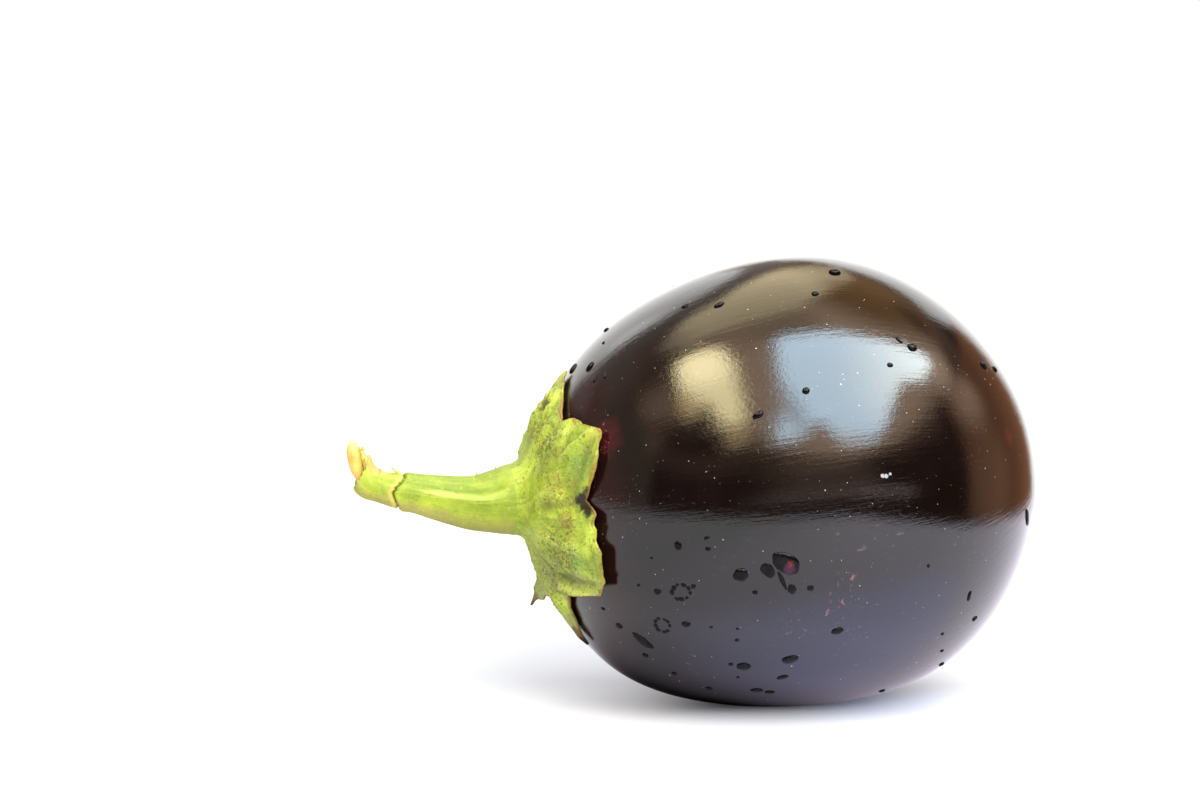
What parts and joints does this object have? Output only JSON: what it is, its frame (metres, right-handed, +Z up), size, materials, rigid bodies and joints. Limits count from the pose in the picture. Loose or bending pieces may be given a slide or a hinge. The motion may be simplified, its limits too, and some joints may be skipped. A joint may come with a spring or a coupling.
{
  "type": "eggplant",
  "caption": "Whole round eggplant lying on its side: glossy near-black fruit, star-shaped green calyx hugging one end, and a bent green stalk torn off at its tip.",
  "frame": {"origin": "middle of the small flat spot that the fruit rests on", "axes": "+Z up from the surface it lies on; the stalk points to -X, the blossom end to +X, and the front is -Y"},
  "size_m": [0.169, 0.1102, 0.1099],
  "materials": {
    "skin": "waxy, glossy, near-black purple skin",
    "green_rind": "matt yellow-green rind with olive and brown freckles",
    "torn_wood": "pale orange torn fibres"
  },
  "bodies": {
    "root": {"fruit": "skin", "calyx_stem": "green_rind", "torn_wood": "torn_wood"}
  },
  "joints": []
}
